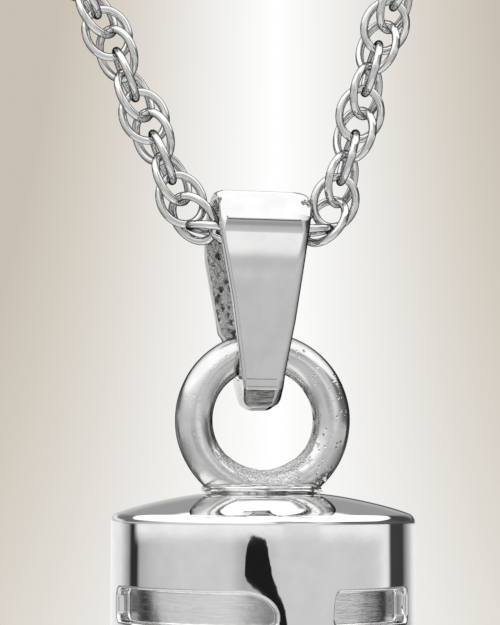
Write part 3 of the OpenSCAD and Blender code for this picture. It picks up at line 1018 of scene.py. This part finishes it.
# The backdrop that the camera sees, with a painted pool of light: a light upright band at this side of
# the middle, which narrows downwards, and its colours from its middle out
BAND_MIDDLE = 0.0139
BAND_SLOPE, BAND_WIDTH = 12.5, 5.35
BACKDROP = (
    (0, (1, 1, 1)), (0.1, (0.953, 0.953, 0.94)), (0.2, (0.905, 0.9, 0.885)),
    (0.39, (0.823, 0.81, 0.78)), (0.61, (0.73, 0.694, 0.64)), (0.78, (0.665, 0.62, 0.546)),
    (1, (0.584, 0.533, 0.456)))


def studio_world():
    """Soft studio of white and grey cards, with the dark gaps between them that the silver mirrors."""
    world = bpy.data.worlds.new("studio")
    bpy.context.scene.world = world
    n = Nodes(world)
    x, y, z = n.add("SeparateXYZ", {0: n.add("TexCoord").outputs["Generated"]}).outputs
    in_degrees = 180 / pi
    azimuth = n.math("MULTIPLY", n.math("ARCTAN2", x, n.math("MULTIPLY", y, -1)), in_degrees)
    elevation = n.math("MULTIPLY", n.math("ARCSINE", z), in_degrees)
    down = n.math("MULTIPLY", elevation, -1)
    around = n.math("DIVIDE", n.math("ADD", azimuth, 180), 360)

    def turn_ramp(table):
        return n.ramp(around, [((angle + 180) / 360, value) for angle, value in table])

    def slit_edge(table, start):
        return n.math("MULTIPLY_ADD", n.ramp(n.math("DIVIDE", down, 10), table), 100, start)

    after_left = n.math("SUBTRACT", azimuth, slit_edge(SLIT_LEFT, SLIT_LEFT_START))
    before_right = n.math("SUBTRACT", slit_edge(SLIT_RIGHT, SLIT_RIGHT_START), azimuth)
    slit = n.smooth(after_left, -SLIT_SOFT, SLIT_SOFT)
    for value, start, end in ((before_right, -SLIT_SOFT, SLIT_SOFT), (down, *SLIT_TOP), (down, *SLIT_FOOT)):
        slit = n.math("MULTIPLY", slit, n.smooth(value, start, end))
    lit = n.math("MULTIPLY", n.smooth(elevation, *RIM_LIGHT_SPAN), turn_ramp(RIM_LIGHT))
    level = n.mix(slit, n.mix(lit, turn_ramp(LEVEL), RIM_LIGHT_SHADE), SLIT_SHADE)
    middle = n.mix(n.smooth(elevation, *LEVEL_SPAN), turn_ramp(BELOW), level)
    for start, end, table in BANDS:
        middle = n.mix(n.smooth(elevation, start, end), middle, turn_ramp(table))
    over = n.math("SUBTRACT", n.math("DIVIDE", elevation, 90), turn_ramp(CEILING_EDGE))
    bend_card = n.ramp(n.math("DIVIDE", elevation, 40), BEND_CARD)
    bend_card = n.mix(n.smooth(over, -0.045, -0.03), bend_card, 0.1)
    before = n.math("MULTIPLY", n.smooth(elevation, 6.8, 7.4), turn_ramp(BEND_PART))
    middle = n.mix(before, middle, bend_card)
    everywhere = n.mix(n.smooth(over, -0.02, 0.02), middle, CEILING)
    for line, half, dark in DARK_LINES:
        near = n.smooth(n.math("ABSOLUTE", n.math("SUBTRACT", down, line)), half, half * 0.3, 0, dark)
        everywhere = n.mix(n.math("MULTIPLY", near, turn_ramp(LINE_PART)), everywhere, 0.03)
    side = n.math("ABSOLUTE", n.math("SUBTRACT", x, BAND_MIDDLE))
    beige = n.ramp(n.math("MULTIPLY", side, n.math("MULTIPLY_ADD", z, BAND_SLOPE, BAND_WIDTH)), BACKDROP)
    camera = n.add("LightPath").outputs["Is Camera Ray"]
    shown = n.add("MixRGB", {0: camera, 1: everywhere, 2: beige}).outputs[0]
    background = n.add("Background", {"Color": shown, "Strength": 1})
    n.add("OutputWorld", {0: background.outputs[0]})


# Camera: its distance in front of the chain's plane and the part of the photograph that fixes its view
CAMERA_D = 60.0
PIXELS_PER_MM = 30.0
PHOTO_W, PHOTO_H = 500, 625
CENTRE_PX = 260.0
HORIZON_PX = 482.0
CHAIN_PX = 228.5
ROLL = radians(0.12)


def photo_camera():
    """The close camera of the photograph, a little under the bail and level with the urn's cap."""
    aim = np.array([(PHOTO_W / 2 - CENTRE_PX) / PIXELS_PER_MM, HANG[1],
                    HANG[2] - (PHOTO_H / 2 - CHAIN_PX) / PIXELS_PER_MM])
    eye = np.array([aim[0], HANG[1] - CAMERA_D, HANG[2] - (HORIZON_PX - CHAIN_PX) / PIXELS_PER_MM])
    data = bpy.data.cameras.new("camera")
    data.sensor_width = 36.0
    data.lens = data.sensor_width * float(np.linalg.norm(aim - eye)) / (PHOTO_H / PIXELS_PER_MM)
    data.clip_start = 0.005
    data.clip_end = 20.0
    camera = bpy.data.objects.new("camera", data)
    bpy.context.scene.collection.objects.link(camera)
    camera.location = Vector(eye * MM)
    look = Vector((aim - eye) * MM).to_track_quat("-Z", "Y")
    camera.rotation_mode = "QUATERNION"
    camera.rotation_quaternion = look @ Matrix.Rotation(ROLL, 4, "Z").to_quaternion()
    bpy.context.scene.camera = camera


FLOOR_RADII = (450, 200)
FLOOR_PLACE = (0, -50, -480)
FLOOR_COLUMNS = 128


def pale_floor():
    """A plain pale floor far under the necklace, which lets a view from below through."""
    skin = Skin()
    rows = [skin.row([(r * cos(a), r * sin(a), 0) for a in whole_turn(FLOOR_COLUMNS)]) for r in FLOOR_RADII]
    skin.join(*rows)
    skin.close(rows[1], (0, 0, 0))
    material = bpy.data.materials.new("pale_floor")
    n = Nodes(material)
    place = n.add("TexCoord").outputs["Object"]
    tone = n.smooth(n.noise(place, 30.0), 0.2, 0.8, 0.72, 0.76)
    shader = n.add("BsdfPrincipled", {"Base Color": tone, "Roughness": 0.7})
    below = n.add("NewGeometry").outputs["Backfacing"]
    clear = n.add("BsdfTransparent").outputs[0]
    shown = n.add("MixShader", {0: below, 1: shader.outputs[0], 2: clear})
    n.add("OutputMaterial", {0: shown.outputs[0]})
    skin.build("floor", FLOOR_PLACE, [material])


bpy.context.scene.view_settings.view_transform = "Standard"
photo_camera()
studio_world()
pale_floor()

SILVER = (0.93, 0.93, 0.925)
GREY_SILVER = (0.8, 0.8, 0.795)
polished = silver("polished_silver", SILVER, 0.01, 0.012, waves=0.0008, grain=0.00002)
bail_silver = silver("bail_silver", GREY_SILVER, 0.04, 0.05, waves=0.001, grain=0.0001)
# A darker copy of the bail's silver, with painted shade along the right edge of the bail's front
shaded_edge_silver = silver("bail_side_silver", GREY_SILVER, 0.04, 0.05, waves=0.001, grain=0.0001, edge=0.12,
                     edge_span=(0.06, 0.5))
# The cast ring, with painted shade where it turns away from the eye
ring_silver = silver("cast_silver", GREY_SILVER, 0.13, 0.12, waves=0.004, grain=0.0016, spots=0.02, edge=0.25)
collar_silver = silver("collar_silver", SILVER, 0.06, 0.12, waves=0.02, grain=0.004, scratches=0.01,
                       stretch=(0.06, 0.06, 0.35), streak=0.35)
solder_silver = silver("solder_silver", GREY_SILVER, 0.12, 0.2, waves=0.05, grain=0.035, scratches=0.02,
                       stretch=(0.8, 0.8, 0.8), streak=0.55)
rough_silver = silver("rough_silver", (0.8, 0.8, 0.79), 0.12, 0.2, waves=0.05, grain=0.06, pits=0.3)
# The sunk panels' scratched floor, with painted shade at its ends
floor_silver = silver("scratched_silver", (0.97, 0.97, 0.965), 0.14, 0.14, waves=0.012, grain=0.004,
                      scratches=0.013, stretch=(0.05, 0.05, 0.4), streak=0.96, painted_end_shade=0.25)
# The filed facet of the bail's tip: its filing marks and roughness, darkened by painted shade
filed_shaded_silver = silver("filed_shaded_silver", (0.4, 0.4, 0.39), 0.2, 0.2, waves=0.01, grain=0.006, scratches=0.02,
                      stretch=(0.07, 0.3, 0.5), streak=0.2)
satin_silver = silver("satin_silver", (0.85, 0.85, 0.84), 0.3, 0.1, waves=0.0, grain=0.002)
# The chain's wire, with painted shade along its outlines where it turns away from the eye
wire_silver = silver("wire_silver", (0.84, 0.84, 0.835), 0.05, 0.06, waves=0.004, grain=0.0004, edge=0.1)

finish_piece(urn_shell([polished, floor_silver, satin_silver]), "urn", "urn_silver", "urn_body")
finish_piece(ring_and_collar([ring_silver, collar_silver, solder_silver]), "urn", "urn_silver")
finish_piece(bail_strip([bail_silver, rough_silver, filed_shaded_silver, shaded_edge_silver]), "bail", "bail_silver",
             "bail")
finish_piece(rope_chain([wire_silver]), "chain", "chain_silver", "chain")
finish_piece(clasp_piece([wire_silver]), "chain", "clasp_silver", "clasp")
finish_piece(plug_piece([satin_silver]), "urn", "plug_silver", "filler_plug")
